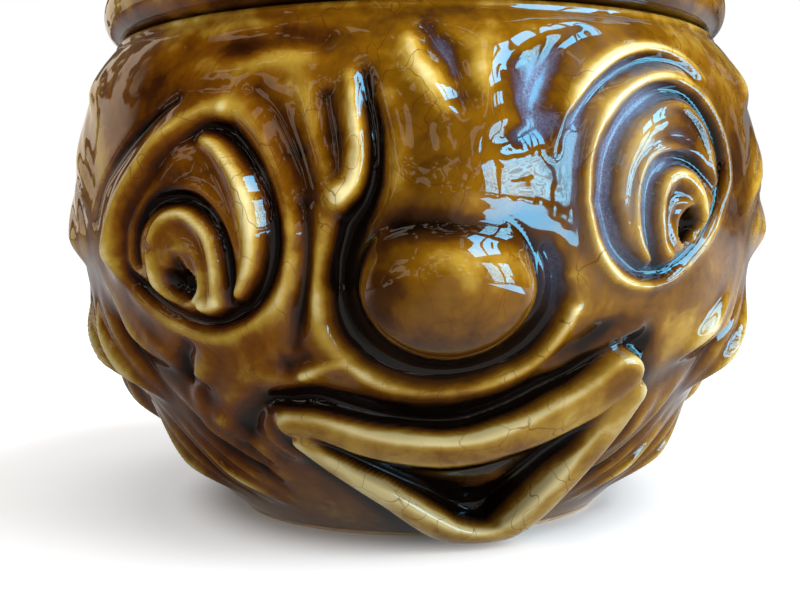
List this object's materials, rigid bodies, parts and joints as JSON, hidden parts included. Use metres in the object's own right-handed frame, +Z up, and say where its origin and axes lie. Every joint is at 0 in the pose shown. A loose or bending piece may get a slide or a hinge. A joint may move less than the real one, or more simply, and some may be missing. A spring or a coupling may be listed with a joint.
{
  "type": "lidded chutney pot",
  "caption": "Round glazed earthenware chutney pot with a comic face in relief and a loose domed lid that lifts off.",
  "frame": {"origin": "centre of the flat base the pot stands on, on the axis of the mouth and the lid", "axes": "+Z up along the axis of the mouth and the lid, -Y the way the face looks, +X towards the face's left, which is the viewer's right"},
  "size_m": [0.1132, 0.1209, 0.1195],
  "materials": {
    "pot_glaze": "treacle-coloured transparent glaze, glossy, pooled dark in the hollows",
    "lid_glaze": "treacle-coloured transparent glaze, glossy"
  },
  "bodies": {
    "pot": {"pot": "pot_glaze"},
    "lid": {"lid": "lid_glaze"}
  },
  "joints": [
    {"name": "lid_lift", "type": "slide", "parent": "pot", "child": "lid", "axis": [0, 0, 1], "range_m": [0, 0.08]}
  ]
}
